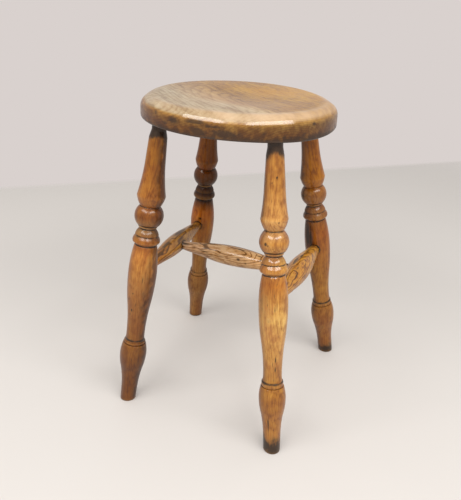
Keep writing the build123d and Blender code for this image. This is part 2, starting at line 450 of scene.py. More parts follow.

    # the wax is duller in the mottling, in the darkened places, where it was rubbed off and in the pores
    rough = calc(tree, "MULTIPLY_ADD", uneven, wood["dullInMottle"], wood["roughness"])
    rough = calc(tree, "MULTIPLY_ADD", darkening, wood["dullInDarkening"], rough)
    rough = calc(tree, "ADD", markOn(tree, "dull"), rough)
    rough = calc(tree, "MULTIPLY_ADD", pores, wood["dullInPores"], rough)
    tree.links.new(rough, shader.inputs["Roughness"])

    # relief: each part of the figure times its rise, added up
    height = calc(tree, "MULTIPLY", ring, wood["riseOfRings"])
    for part, rise in ((pores, "riseOfPores"), (fibre, "riseOfFibre"), (spots, "riseOfSpots")):
        height = calc(tree, "MULTIPLY_ADD", part, wood[rise], height)
    bumpInputs = {"Strength": wood["bumpStrength"], "Distance": wood["bumpDepth"] * metre, "Height": height}
    tree.links.new(put(tree, "Bump", bumpInputs), shader.inputs["Normal"])

    shader.inputs["Specular IOR Level"].default_value = wood["specular"]
    shader.inputs["Specular Tint"].default_value = (*wood["sheenTint"], 1)
    shader.inputs["Coat Weight"].default_value = wood["coat"]
    shader.inputs["Coat IOR"].default_value = wood["coatIndex"]
    shader.inputs["Coat Roughness"].default_value = wood["coatRoughness"]
    return material


seatLow, seatHigh = (np.array(corner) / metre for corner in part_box("seat"))
seatCentre = (seatLow + seatHigh) / 2

# Directions round the seat are from the cross rod's right-hand end, towards the back. A stain, with painted
# light, shade and sheen in it, is (place, colour), and a shade or a spot is (down, direction, length, width,
# strength).
seatBoard = {
    "dishDepth": 5.0,
    "rimRoundWidth": 29.0,
    "rimRoundHeight": 20.0,
    "rimKnee": (4.0, 10.36, 0.0),  # in from the side, down from the crest, and length of the flat below it
    "facetLean": 30.0,  # of that flat, from upright
    "front": {"rimRoundWidth": 17.0, "rimKnee": (4.15, 7.0, 5.0)},  # the stretch with a sharper rim
    "frontFrom": -60.0,
    "frontWidth": 75.0,  # to each side
    "frontBlend": 20.0,
    "rimLowerRadius": 3.0,
    "edgeWear": 0.8,
    "rows": 190,
    "bendShare": 0.6,
    "columns": 288,
    "grainAngle": -37.0,
    "seed": 11,
    "unevenness": 0.35,
    "waveLength": 90.0,
    "sittingWaves": (31.0, 43.0),  # length of the worn top's waves, along the cross rod and across, over 2 pi
    "dents": 46,
    "dentWidth": (2.5, 9.0),
    "dentDepth": 0.55,
    "fullSide": -25.0,  # direction in which the board is fuller
    "fullWidth": 32.0,
    "fullDrop": 3.0,
    "fullEdge": 0.9,
    "topBlend": ((7, 1.0), (11, 0.0)),  # down the rim, from the top's stains to the side's
    # down the rim: old polish with painted shade, darker towards the bottom, and a crest rubbed pale with
    # painted sheen
    "polishAndShade": ((9, 0.0), (14.75, 1.15)),  # down the rim
    "lowDarkening": ((22, 0.0), (36, 0.9)),
    "crestIn": 11.0,  # in from the side to the crest that is rubbed pale, with painted sheen
    "crestRubAndSheen": ((5, 1.0), (15, 0.0)),  # away from the crest, to each side
    "rimRubAndSheen": ((6, 1.0), (10, 0.0)),  # down the rim
    "sideRubAndSheen": ((-96, 0.35), (60, 1.0)),  # along the cross rod
    "topSlant": 1.6,  # the top's stains, with painted sheen, follow x + topSlant y, askew across the board
    # painted sheen: the near and left side of the top is paler and bluer, the far and right side yellower
    "topStainsAndSheen": (
        (-160, (0.91, 1.12, 1.45)), (-60, (0.90, 0.84, 0.67)), (20, (0.76, 0.61, 0.20)),
        (160, (1.01, 0.81, 0.17)),
    ),
    # down the rim, the stains carry painted shade, darker down the side
    "stainsAndPaintedLight": (
        (7, (0.93, 0.96, 1.04)), (10, (0.83, 0.69, 0.33)), (16, (0.59, 0.50, 0.23)),
        (25, (0.47, 0.33, 0.12)), (34, (0.32, 0.22, 0.06)),
    ),
    "sideStainsAndLight": ((-150, (1.03, 0.93, 0.75)), (0, (0.98, 0.98, 1.0)), (150, (1.03, 1.1, 1.22))),
    "shades": ((19, -150, 4, 9, 0.8), (24, -60, 4, 9, 0.7), (22, -20, 5, 12, 0.6)),
    "spots": (
        (13.5, -93, 3, 15, 1.2), (17, -83, 2, 16, 0.8), (26, -91, 6, 11, 1.3), (25, -77, 6, 20, 1.1),
        (18, -106, 6, 9, 1.0), (22, -112, 4, 6, 0.8), (13, -121, 3, 6, 0.7), (22, -57, 3, 3, 0.7),
        (27, -46, 1.8, 1.8, 1.2), (25, -34, 1.8, 2.5, 0.9), (14, -27, 2.5, 4, 0.9),
        (25, -14, 2, 3, 0.7),
    ),
    "wood": {
        "seed": 4,
        "pith": (-120.0, 24.0),
        "pithLean": 0.1,
        "ringWidth": 3.0,
        "earlyShare": 0.5,
        "ringDepth": 0.1,
        "wander": 22.0,
        "wanderSize": 60.0,
        "wanderStretch": 3.4,
        "fibreSize": 1.5,
        "fibreDepth": 0.26,
        "streakSize": 6.0,
        "streakDepth": 0.48,
        "mottleSize": 8.0,
        "mottleDepth": 0.6,
        "patchSize": 48.0,
        "patchDepth": 0.7,
        "tones": (
            (0.05, screenColour(92, 62, 33)),
            (0.35, screenColour(144, 106, 62)),
            (0.6, screenColour(186, 150, 102)),
            (0.95, screenColour(214, 184, 138)),
        ),
        "driftSize": 80.0,
        "driftShare": 0.3,
        "driftColour": screenColour(186, 132, 70),
        "shadeTint": (0.42, 0.3, 0.16),
        "poreSize": 0.9,
        "poreLevel": 0.56,
        "poreDepth": 0.25,
        "specular": 0.1,
        "darkest": screenColour(40, 26, 16),
        "spotSpacing": 26.0,
        "spotSize": 0.045,
        "spotShare": 0.3,
        "darkeningDepth": 0.75,
        # the crest's paler colour: wear with painted sheen
        "paleDepth": 0.75,
        "paleColour": screenColour(200, 168, 134),
        "roughness": 0.34,
        "bumpStrength": 0.35,
        "bumpDepth": 0.2,
        "sheenTint": (1.0, 0.8, 0.55),
        "coat": 0.45,
        "coatIndex": 1.8,
        "coatRoughness": 0.12,
    },
}
seatAxis = Axis((*seatCentre[:2], 0), (*seatCentre[:2], 1), (1, 0, 0))


def seatOutline(board):
    # From the middle of the underside out, up the side, over the rim and in to the middle of the dish
    underside, top = seatLow[2], seatHigh[2]
    radius = (seatHigh[0] - seatLow[0]) / 2
    crest = radius - board["rimRoundWidth"] + 1j * top
    sideHigh = radius + 1j * (top - board["rimRoundHeight"])
    sideLow = radius + 1j * (underside + board["rimLowerRadius"])
    bottomEdge = radius - board["rimLowerRadius"] + 1j * underside
    dishMiddle = 1j * (top - board["dishDepth"])
    inset, drop, facet = board["rimKnee"]
    lean = math.radians(board["facetLean"])
    knee = radius - inset + 1j * (top - drop)
    kneeLow = knee + facet * (math.sin(lean) - 1j * math.cos(lean))
    return softened([
        bow(1j * underside, bottomEdge),
        bowAlong(bottomEdge, sideLow, 1),
        bow(sideLow, sideHigh),
        bowAlong(sideHigh, kneeLow, 1j),
        bow(kneeLow, knee),
        bowAlong(crest, knee, 1)[::-1],
        *ogee(crest, dishMiddle, -1),
    ], board["edgeWear"])


def makeSeat(board):
    # (radius cos around, radius sin around, height) about the seat's axis. The radius and height are those
    # of the outline, eased into the sharper one at the front, less the unevenness and the dents
    pattern, = rowsOf(board["rows"], board["bendShare"], seatOutline(board))
    front, = rowsOf(board["rows"], board["bendShare"], seatOutline({**board, **board["front"]}))
    around = directionsRound(board["columns"])
    fromFront = np.degrees(np.abs(turnFrom(math.radians(board["frontFrom"]), around)))
    sharper = eased(np.clip((board["frontWidth"] - fromFront) / board["frontBlend"] + 0.5, 0, 1))
    outline = pattern[:, None] + (front - pattern)[:, None] * sharper
    radius, height = outline.real, outline.imag
    radiusMost = radius.max()
    x, y = radius * np.cos(around), radius * np.sin(around)

    # the rim was shaved by hand and knocked, and the sitting place is worn a little unevenly
    rim = np.clip(radius / radiusMost * 6 - 5, 0, 1)  # from 0 to 1 over the outermost sixth
    over = height * 2 + radius
    waves = slowWaves(over, around, board["seed"], board["waveLength"])
    radius = radius - board["unevenness"] * rim * (1 + waves)
    radius -= rim * dents(over, around, radiusMost, board["seed"] + 1, board)
    upper = height > seatCentre[2]
    lengthways, across = board["sittingWaves"]
    sitting = np.sin(x / lengthways + 1) * np.sin(y / across + 2) * (1 - rim) * upper
    height = height - board["unevenness"] * (0.5 + 0.5 * sitting) * (1 - rim) * upper

    # the board is fuller on one side, below and at its edge
    fromFull = np.degrees(turnFrom(math.radians(board["fullSide"]), around))
    fuller = np.exp(-(fromFull / board["fullWidth"]) ** 2)
    radius = radius + board["fullEdge"] * rim * fuller
    outer = np.clip(radius / radiusMost * 3 - 2, 0, 1)  # from 0 to 1 over the outermost third
    height = height - board["fullDrop"] * outer * fuller * ~upper

    # the rim keeps its dark polish with painted shade and is darker towards the bottom, and the crest of the
    # rim is rubbed pale, with painted sheen
    down = seatHigh[2] - height
    polishAndShade = graded(down, board["polishAndShade"]) * rim
    top = graded(down, board["topBlend"])[..., None]
    topStain = tintAt(x + board["topSlant"] * y, board["topStainsAndSheen"])
    crest = graded(np.abs(radius - radiusMost + board["crestIn"]), board["crestRubAndSheen"])
    marks = {
        "shade": np.maximum(polishAndShade, smudges(down, around, radius, board["shades"])),
        "darkening": np.maximum(graded(down, board["lowDarkening"]), smudges(down, around, radius, board["spots"])),
        "paleness": crest * graded(down, board["rimRubAndSheen"]) * graded(x, board["sideRubAndSheen"]),
        "stainAndPaintedLight": tintAt(down, board["stainsAndPaintedLight"])
        * ((1 - top) * tintAt(x, board["sideStainsAndLight"]) + top * topStain),
        "dull": 0.0,
    }
    points = seatAxis.spun(radius, height, around + 0 * radius)
    ends = np.array([(*seatCentre[:2], seatLow[2]), (*seatCentre[:2], height[-1].mean())])
    return skin("seatBoard", points, ends, marks)


grainTurn = math.radians(seatBoard["grainAngle"])
grainWay = np.array([math.cos(grainTurn), math.sin(grainTurn), 0])
seatGrain = Axis(seatCentre, seatCentre + grainWay, (0, 0, 1))
addPiece(makeSeat(seatBoard), "seat", woodFinish("waxedElm", seatGrain, seatBoard["wood"]))


# The pattern that all four legs are turned to, from the seat down. Places are from the underside of the
# seat, and directions are from the right towards the front.
turnedLeg = {
    "tenonLength": 24.0,
    "tenonDiameter": 21.5,
    "bareTenonLength": 12.0,
    "shoulderLength": 10.0,
    "shoulderDiameter": 25.0,
    "vaseNeckLength": 40.0,
    "vaseNeckDiameter": 29.0,
    "vaseLength": 49.0,
    "vaseDiameter": 41.0,
    "vaseBaseLength": 16.5,
    "vaseBaseBulge": 0.8,
    "waistDiameter": 29.6,
    "ballLength": 30.5,
    "ballDiameter": 43.0,
    "ballLowDiameter": 31.5,
    "filletLength": 3.2,
    "filletDiameter": 28.2,
    "neckLength": 3.2,
    "neckDiameter": 24.6,
    "bellLength": 9.4,
    "bellDiameter": 35.2,
    "bellHollow": -14.0,  # lean of its arc, inwards
    "lipLength": 1.0,
    "ringTopDiameter": 33.8,
    "ringLength": 12.4,
    "ringChamferLength": 3.6,
    "ringChamferDiameter": 38.2,
    "ringDiameter": 41.4,
    "ringShare": 0.74,
    "grooveLength": 5.4,
    "grooveDepth": 1.4,
    "bodyTopDiameter": 34.6,
    "bodyBellyDrop": 47.0,
    "bodyDiameter": 43.6,
    "shinDiameter": 28.4,
    "collarLength": 10.0,
    "collarDiameter": 31.0,
    "cuffHeight": 112.4,
    "cuffLength": 7.6,
    "cuffDiameter": 32.6,
    "cuffSwell": 0.5,
    "cuffLineDepth": 0.4,
    "cuffLineWidth": 1.9,
    "ankleTopDiameter": 35.6,
    "ankleHeight": 91.0,
    "ankleDiameter": 41.8,
    "ankleShare": 0.35,
    "footHeight": 24.0,
    "footTopDiameter": 26.4,
    "footDiameter": 25.2,
    "footEdgeRadius": 1.5,
    "soleBand": 3.0,  # of the foot, drawn down in full to the level floor
    "edgeWear": 0.35,
    "rows": 560,
    "bendShare": 1.6,
    "columns": 96,
    "oval": 0.006,
    "unevenness": 0.14,
    "waveLength": 60.0,
    "fadeLength": 20.0,  # below the seat, over which the marks of making and use come in
    "fadeRadius": 10.0,
    "dents": 34,
    "dentWidth": (1.2, 4.5),
    "dentDepth": 0.45,
    "hollowWidth": 3.2,
    # dirt with painted shade in the hollows, creases, cut lines and joints, and the seat's painted shadow
    # under it
    "hollowDirtAndShade": ((0, 0.0), (2.08, 0.8)),  # by how deep a hollow is at that width
    "wornAndHighlitEdge": ((0, 0.0), (1.6, 1.0)),  # by how far an edge stands out at that width
    "creaseWidth": 1.0,  # width of the black lines of dirt and painted shade in the turning's grooves
    "creaseDirtAndShade": ((0, 0.0), (0.675, 1.5)),
    "jointDarkReach": 2.2,
    # lines cut into the turning, dark with dirt and painted shade: place, width, strength
    "dirtAndShadeLines": ((157.4, 1.4, 1.1), (162.9, 1.2, 1.0), (173.9, 0.6, 0.8), (190, 1.2, 1.0)),
    "filletHighlight": (160.6, 0.8),  # place and width of the painted highlight on the fillet under the ball
    "seatDirtAndShadow": ((10, 1.5), (19, 0.9), (30, 0.0)),
    "seatShadowSway": 3.0,  # it ends this much higher on the face and lower at the sides
    # painted shade: each leg is darker down its sides, and most on one, as the light fell
    "facing": 70.0,  # direction of the leg's face, between its left and right sides
    "sideFrom": 0.7,  # sine of the turn from the face, past which a side is darker
    "leftDark": 0.45,
    "soleEdgeDirt": (2.5, 1.2),  # height, strength
    "soleDirtFade": (0.4, 1.3),  # shares of a leg's own height of dirt, between which it fades
    "cuffLineOnFace": 0.55,  # share of the line above the cuff that its face keeps
    "dullPlaces": ((162, 0.0), (165, 0.3), (173, 0.3), (174.5, 0.0)),  # the bell, rubbed dull
    "wood": {
        "pithAway": math.hypot(70.0, 25.0),  # from the leg's axis to the middle of the tree
        "pithLean": 0.02,
        "ringWidth": 2.6,
        "earlyShare": 0.4,
        "ringDepth": 0.12,
        "wander": 7.0,
        "wanderSize": 34.0,
        "wanderStretch": 5.0,
        "fibreSize": 1.1,
        "fibreDepth": 0.4,
        "streakSize": 4.0,
        "streakDepth": 0.5,
        "mottleSize": 8.0,
        "mottleDepth": 0.85,
        "patchSize": 26.0,
        "patchDepth": 0.5,
        "tones": (
            (0.0, screenColour(100, 54, 18)),
            (0.35, screenColour(156, 94, 34)),
            (0.6, screenColour(192, 128, 52)),
            (1.0, screenColour(222, 164, 82)),
        ),
        "driftSize": 55.0,
        "driftShare": 0.35,
        "driftColour": screenColour(168, 88, 40),
        "shadeTint": (0.3, 0.24, 0.22),
        "poreSize": 1.1,
        "poreLevel": 0.6,
        "poreDepth": 0.4,
        "specular": 0.2,
        "darkest": screenColour(24, 12, 6),
        "spotSpacing": 17.0,
        "spotSize": 0.07,
        "spotShare": 0.3,
        "darkeningDepth": 0.96,
        # paler raised edges: wear with painted highlights
        "paleDepth": 0.3,
        "paleColour": screenColour(214, 156, 84),
        "roughness": 0.34,
        "bumpStrength": 0.35,
        "bumpDepth": 0.15,
        "sheenTint": (1.0, 0.7, 0.4),
        "coatIndex": 1.8,
    },
}

# What differs from leg to leg. A stain, with painted light and shade in it, is (place, colour), a slip of the
# chisel is (place, extra diameter, how far down), and a shade (painted shade with darker polish) or a black
# spot is (place, direction, length, width, strength).
legs = {
    "front_left": {
        "socket": (-86.0, -94.0),  # its middle, from the seat's axis
        "foot": (-122.0, -148.0),
        "jointDrop": 44.0,  # down the body to the side rod
        "extra": 1.5,  # thickness over the pattern's
        "seed": 21,  # of its unevenness, dents and figure
        "pithTurn": 40.0,  # direction of the tree's middle
        "coat": 0.34,
        "coatRoughness": 0.19,
        # painted shade, with darker old polish, down the leg's sides
        "rightDark": 0.45,  # strength down its right side
        "darkSide": (1.5, -20),  # strength, direction
        # the line above the cuff: dirt with painted shade, darker at the sides
        "cuffDirtAndShade": 1.4,  # strength of the line above the cuff
        "soleDirt": (0.3, 9),  # strength, height
        "stainsAndPaintedLight": (
            (60, (0.62, 0.55, 0.23)), (115, (0.62, 0.52, 0.38)), (143, (0.35, 0.23, 0.08)),
            (168, (0.52, 0.68, 1.10)), (180, (0.55, 0.47, 0.18)), (205, (0.94, 0.97, 0.95)),
            (265, (0.54, 0.48, 0.47)), (340, (0.44, 0.39, 0.29)), (400, (0.29, 0.21, 0.07)),
            (470, (0.28, 0.19, 0.04)),
        ),
        "slips": (
            (0, 0, 0), (62, 0, 0), (111, 1.2, 0), (127, 0, 0), (340, 0, 0), (348, 0, 3), (358, 0, 4),
            (366, 0, 0), (387, 0.6, 0), (430, 0, 0), (465, -1, 0), (520, -1, 0),
        ),
        "shades": ((67, 0, 40, 14, 1.2), (113, 5, 20, 10, 0.9), (270, 38, 45, 9, 0.6)),
        "spots": (
            (258, 114, 3, 1.5, 0.8), (270, 95, 2, 1.2, 0.7), (283, 120, 3, 1.5, 0.8),
            (301, 100, 3, 1.6, 0.8), (290, 80, 5, 1.2, 0.7), (310, 110, 4, 1.2, 0.7),
            (245, 60, 8, 1.2, 0.6),
        ),
    },
    "front_right": {
        "socket": (87.6, -93.4),
        "foot": (144.3, -162.2),
        "jointDrop": 42.0,
        "extra": 0.0,
        "seed": 33,
        "pithTurn": 200.0,
        "coat": 0.43,
        "coatRoughness": 0.14,
        "rightDark": 0.0,
        "darkSide": (0.3, 160),
        "cuffDirtAndShade": 1.1,
        "soleDirt": (0.87, 30),
        "stainsAndPaintedLight": (
            (60, (0.77, 0.77, 0.68)), (111, (1.05, 1.21, 1.78)), (134, (0.77, 0.89, 1.57)),
            (143, (0.88, 0.90, 0.88)), (168, (0.75, 0.93, 1.17)), (180, (0.92, 1.01, 1.09)),
            (205, (0.77, 0.62, 0.33)), (260, (1.22, 1.65, 2.40)), (340, (0.84, 0.92, 0.97)),
            (390, (0.60, 0.53, 0.24)), (460, (0.69, 0.66, 0.59)),
        ),
        "slips": (
            (0, 0, 0), (62, 0.7, 0), (111, -1.2, 0), (127, -2.3, 0), (143, 0, 0.5), (158, 0, 1),
            (180, 0, 2), (195, 0, 2), (240, 0, 0), (420, 0, 0), (450, 0.9, 0), (520, 0.9, 0),
        ),
        "shades": ((235, 112, 40, 12, 0.35), (100, 150, 90, 6, 0.5), (143, 150, 20, 7, 0.5)),
        "spots": (
            (52, 63, 1.6, 1.3, 1.2), (59, 89, 1, 0.8, 0.8), (113, 55, 1.5, 1.2, 0.9),
            (144, 108, 2.6, 2, 1.1), (146, 98, 2, 1.2, 0.8), (150, 80, 1.4, 1.2, 0.6),
            (220, 70, 9, 0.8, 0.9), (242, 69, 8, 0.7, 0.9), (230, 60, 8, 0.6, 0.7),
            (234, 97, 3, 1, 0.7), (322, 58, 7, 0.8, 0.9), (338, 58, 6, 0.8, 0.9),
            (330, 75, 5, 0.6, 0.6), (432, 95, 12, 1, 1),
        ),
    },
    "back_left": {
        "socket": (-84.8, 94.5),
        "foot": (-127.2, 150.5),
        "jointDrop": 52.3,
        "extra": 1.4,
        "seed": 47,
        "pithTurn": 120.0,
        "coat": 0.15,
        "coatRoughness": 0.14,
        "rightDark": 0.45,
        "darkSide": (0.4, 10),
        "cuffDirtAndShade": 0.8,
        "soleDirt": (0.3, 9),
        "stainsAndPaintedLight": (
            (90, (0.38, 0.25, 0.03)), (120, (0.33, 0.20, 0.03)), (143, (0.09, 0.03, 0.03)),
            (160, (0.06, 0.03, 0.03)), (192, (0.07, 0.03, 0.03)), (215, (0.77, 0.51, 0.06)),
            (290, (0.58, 0.64, 0.69)), (380, (0.45, 0.46, 0.66)), (470, (0.52, 0.55, 0.77)),
        ),
        "slips": (
            (0, 0, 0), (62, 0, 0), (111, -0.8, 0), (127, 0, 0), (158, 0, 0), (178, -2.6, 0),
            (200, -2.5, 0), (235, 0, 0), (520, 0, 0),
        ),
        "shades": ((240, 63, 14, 6, 0.9),),
        "spots": ((226, 80, 3, 3, 0.9), (262, 50, 6, 1, 0.7), (300, 70, 8, 1, 0.6)),
    },
    "back_right": {
        "socket": (86.0, 94.0),
        "foot": (164.0, 141.4),
        "jointDrop": 53.5,
        "extra": 1.5,
        "seed": 59,
        "pithTurn": 290.0,
        "coat": 0.3,
        "coatRoughness": 0.16,
        "rightDark": 0.0,
        "darkSide": (1.0, 160),
        "cuffDirtAndShade": 1.2,
        "soleDirt": (0.75, 24),
        "stainsAndPaintedLight": (
            (80, (0.62, 0.50, 0.08)), (120, (0.62, 0.50, 0.10)), (143, (0.50, 0.46, 0.58)),
            (172, (0.43, 0.39, 0.52)), (185, (0.44, 0.36, 0.30)), (215, (0.54, 0.36, 0.13)),
            (310, (0.64, 0.64, 0.41)), (400, (0.58, 0.57, 0.48)), (470, (0.55, 0.55, 0.43)),
        ),
        "slips": ((0, 0, 0), (520, 0, 0)),
        "shades": ((222, 118, 24, 9, 1.3),),
        "spots": (
            (218, 122, 20, 6, 1), (222, 104, 26, 1, 1.4), (262, 104, 26, 0.7, 1), (143, 130, 8, 4, 0.7),
        ),
    },
}


def radiusAt(diameter, place):
    # Point of an outline: half the diameter out, at its place along the axis
    return diameter / 2 + 1j * place


def legOutline(leg, length, extra):
    # From the middle of the tenon's end, down the turning, to the middle of the sole
    def fullRadius(diameter, place):
        # The pattern's point, with this leg's extra thickness
        return radiusAt(diameter + extra, place)

    tip = -leg["tenonLength"]
    tenonFoot = radiusAt(leg["tenonDiameter"], leg["bareTenonLength"])
    shoulder = fullRadius(leg["shoulderDiameter"], tenonFoot.imag + leg["shoulderLength"])
    vaseNeck = fullRadius(leg["vaseNeckDiameter"], shoulder.imag + leg["vaseNeckLength"])
    vaseSide = fullRadius(leg["vaseDiameter"], vaseNeck.imag + leg["vaseLength"])
    waist = fullRadius(leg["waistDiameter"], vaseSide.imag + leg["vaseBaseLength"])
    ballSide = fullRadius(leg["ballDiameter"], waist.imag + leg["ballLength"] / 2)
    ballLow = fullRadius(leg["ballLowDiameter"], waist.imag + leg["ballLength"])
    filletHigh = fullRadius(leg["filletDiameter"], ballLow.imag)
    filletLow = filletHigh + 1j * leg["filletLength"]
    neckHigh = fullRadius(leg["neckDiameter"], filletLow.imag)
    neckLow = neckHigh + 1j * leg["neckLength"]
    bellLow = fullRadius(leg["bellDiameter"], neckLow.imag + leg["bellLength"])
    ringHigh = fullRadius(leg["ringTopDiameter"], bellLow.imag + leg["lipLength"])
    ringChamfer = fullRadius(leg["ringChamferDiameter"], ringHigh.imag + leg["ringChamferLength"])
    ringSide = fullRadius(leg["ringDiameter"], ringHigh.imag + leg["ringShare"] * leg["ringLength"])
    ringLow = fullRadius(leg["bodyTopDiameter"], ringHigh.imag + leg["ringLength"])
    groove = ringLow - leg["grooveDepth"] + 1j * leg["grooveLength"] / 2
    bodyHigh = ringLow + 1j * leg["grooveLength"]
    belly = fullRadius(leg["bodyDiameter"], bodyHigh.imag + leg["bodyBellyDrop"])
    cuffTop = length - leg["cuffHeight"] - leg["cuffLength"]
    shin = fullRadius(leg["shinDiameter"], cuffTop - leg["collarLength"])
    collar = fullRadius(leg["collarDiameter"], cuffTop)
    cuffHigh = fullRadius(leg["cuffDiameter"], cuffTop)
    cuffLow = cuffHigh + 1j * leg["cuffLength"]
    cuffLine = cuffLow + leg["cuffLineDepth"] * (1j - 1)
    ankleHigh = fullRadius(leg["ankleTopDiameter"], cuffLow.imag + 2 * leg["cuffLineDepth"])
    ankle = fullRadius(leg["ankleDiameter"], length - leg["ankleHeight"])
    footHigh = fullRadius(leg["footTopDiameter"], length - leg["footHeight"])
    soleHigh = fullRadius(leg["footDiameter"], length - leg["footEdgeRadius"])
    sole = soleHigh + leg["footEdgeRadius"] * (1j - 1)
    return softened([
        bow(1j * tip, radiusAt(leg["tenonDiameter"], tip)),
        bow(radiusAt(leg["tenonDiameter"], tip), tenonFoot),
        bow(tenonFoot, shoulder),
        bow(shoulder, vaseNeck),
        bowAlong(vaseNeck, vaseSide, vaseNeck - shoulder),
        bowOut(vaseSide, waist, leg["vaseBaseBulge"]),
        bowThrough(waist, ballSide, ballLow),
        bow(ballLow, filletHigh),
        bow(filletHigh, filletLow),
        bow(filletLow, neckHigh),
        bow(neckHigh, neckLow),
        bow(neckLow, bellLow, math.radians(leg["bellHollow"])),
        bow(bellLow, ringHigh),
        bow(ringHigh, ringChamfer),
        bowAlong(ringSide, ringChamfer, -1j)[::-1],
        bowAlong(ringSide, ringLow, 1j),
        bow(ringLow, groove),
        bow(groove, bodyHigh),
        bowAlong(belly, bodyHigh, -1j)[::-1],
        *ogee(belly, shin, 1j),
        bowAlong(shin, collar, 1j),
        bow(collar, cuffHigh),
        bowOut(cuffHigh, cuffLow, leg["cuffSwell"]),
        bow(cuffLow, cuffLine),
        bow(cuffLine, ankleHigh),
        bowAlong(ankle, ankleHigh, -1j)[::-1],
        *ogee(ankle, footHigh, 1j, leg["ankleShare"]),
        bow(footHigh, soleHigh),
        bowAlong(soleHigh, sole, 1j),
        bow(sole, 1j * length),
    ], leg["edgeWear"])


def makeLeg(name, axis, leg, own, rods):
    # start + w along + radius (u cos around + v sin around) about the leg's axis. The radius is that of the
    # pattern, plus this leg's slips, times 1 + oval cos(2 around + seed), plus unevenness, less dents
    seed = own["seed"]
    line = legOutline(leg, axis.length, own["extra"])
    rows, groove, crease = rowsOf(leg["rows"], leg["bendShare"], line,
                                  hollows(line, leg["hollowWidth"]), hollows(line, leg["creaseWidth"]))
    place = rows.imag[:, None]
    groove, crease = groove[:, None], crease[:, None]
    slipPlaces, wider, slipped = zip(*own["slips"])
    rows = rows + np.interp(rows.imag, slipPlaces, wider) / 2 + 1j * np.interp(rows.imag, slipPlaces, slipped)
    around = directionsRound(leg["columns"])
    along = rows.imag[:, None] + 0 * around
    radius = rows.real[:, None] * (1 + leg["oval"] * np.cos(2 * around + seed))

    def shown(radius):
        # Share of the marks of making and use: none in the socket and none at the axis
        return np.clip(along / leg["fadeLength"], 0, 1) * np.clip(radius / leg["fadeRadius"], 0, 1)

    radius += leg["unevenness"] * shown(radius) * slowWaves(along, around, seed, leg["waveLength"])
    radius -= shown(radius) * dents(along, around, radius, seed + 1, leg)
    points = axis.spun(radius, along, around + 0 * radius)

    # the sole is cut level with the floor, so the last of the leg is drawn along its axis to meet it
    intoFoot = (along - axis.length + leg["footHeight"]) / (leg["footHeight"] - leg["soleBand"])
    sideways = points[..., 2] - (axis.start[2] + axis.w[2] * along)
    points = points - (eased(np.clip(intoFoot, 0, 1)) * sideways / axis.w[2])[..., None] * axis.w
    ends = np.array([axis.at(-leg["tenonLength"]), axis.at(axis.length)])

    # dirt lies on the sole; dirt and the seat's painted shadow lie under the seat, and dirt with painted
    # shade lies in the hollows of the turning, in lines cut into it, above the cuff and round the joints
    facing = around - math.radians(leg["facing"])
    seatDirtAndShadow = graded(along + leg["seatShadowSway"] * np.cos(2 * facing), leg["seatDirtAndShadow"])
    up = axis.length - along
    strength, height = own["soleDirt"]
    edgeHeight, edgeStrength = leg["soleEdgeDirt"]
    fadeFrom, fadeTo = (height * share for share in leg["soleDirtFade"])
    soleDirt = graded(up, ((0, edgeStrength), (edgeHeight, strength), (fadeFrom, strength), (fadeTo, 0)))
    drawn = [black * np.exp(-((place - middle) / width) ** 2) for middle, width, black in leg["dirtAndShadeLines"]]
    fromCuff = (up - leg["cuffHeight"] - leg["cuffLength"]) / leg["cuffLineWidth"]
    onFace = leg["cuffLineOnFace"]
    cuffLine = own["cuffDirtAndShade"] * np.exp(-fromCuff ** 2) * (onFace + (1 - onFace) * np.sin(facing) ** 2)
    dirtAndShade = [
        jointDirtAndShade(points, rods, leg["jointDarkReach"]), seatDirtAndShadow, soleDirt, cuffLine,
        graded(groove, leg["hollowDirtAndShade"]), graded(crease, leg["creaseDirtAndShade"]), *drawn,
        smudges(along, around, radius, own["spots"]),
    ]

    # painted shade and darker old polish down both sides and most on one; the pale line is a painted
    # highlight on the fillet, and raised edges are paler, worn and with painted highlights
    darkest, direction = own["darkSide"]
    darkSide = darkest * np.clip(np.cos(around - math.radians(direction)), 0, 1) ** 2
    sideFrom = leg["sideFrom"]
    sides = ((-1, own["rightDark"]), (-sideFrom, 0), (sideFrom, 0), (1, leg["leftDark"]))
    middle, width = leg["filletHighlight"]
    filletHighlight = np.exp(-((place - middle) / width) ** 2)
    marks = {
        "darkening": np.maximum.reduce([part + 0 * around for part in dirtAndShade]),
        "paleness": graded(-groove, leg["wornAndHighlitEdge"]) + filletHighlight + 0 * around,
        "shade": smudges(along, around, radius, own["shades"]) + (graded(np.sin(facing), sides) + darkSide),
        "stainAndPaintedLight": tintAt(along, own["stainsAndPaintedLight"]),
        "dull": graded(place, leg["dullPlaces"]) + 0 * around,
    }
    return skin(name, points, ends, marks)


legAxes = {}
for name, own in legs.items():
    top = (seatCentre[0] + own["socket"][0], seatCentre[1] + own["socket"][1], seatLow[2])
    foot = (seatCentre[0] + own["foot"][0], seatCentre[1] + own["foot"][1], 0)
    legAxes[name] = Axis(top, foot, (1, 0, 0))

# from the underside of the seat down to the top of a leg's body
bodyTop = sum(turnedLeg[part] for part in (
    "bareTenonLength", "shoulderLength", "vaseNeckLength", "vaseLength", "vaseBaseLength",
    "ballLength", "filletLength", "neckLength", "bellLength", "lipLength", "ringLength", "grooveLength"))


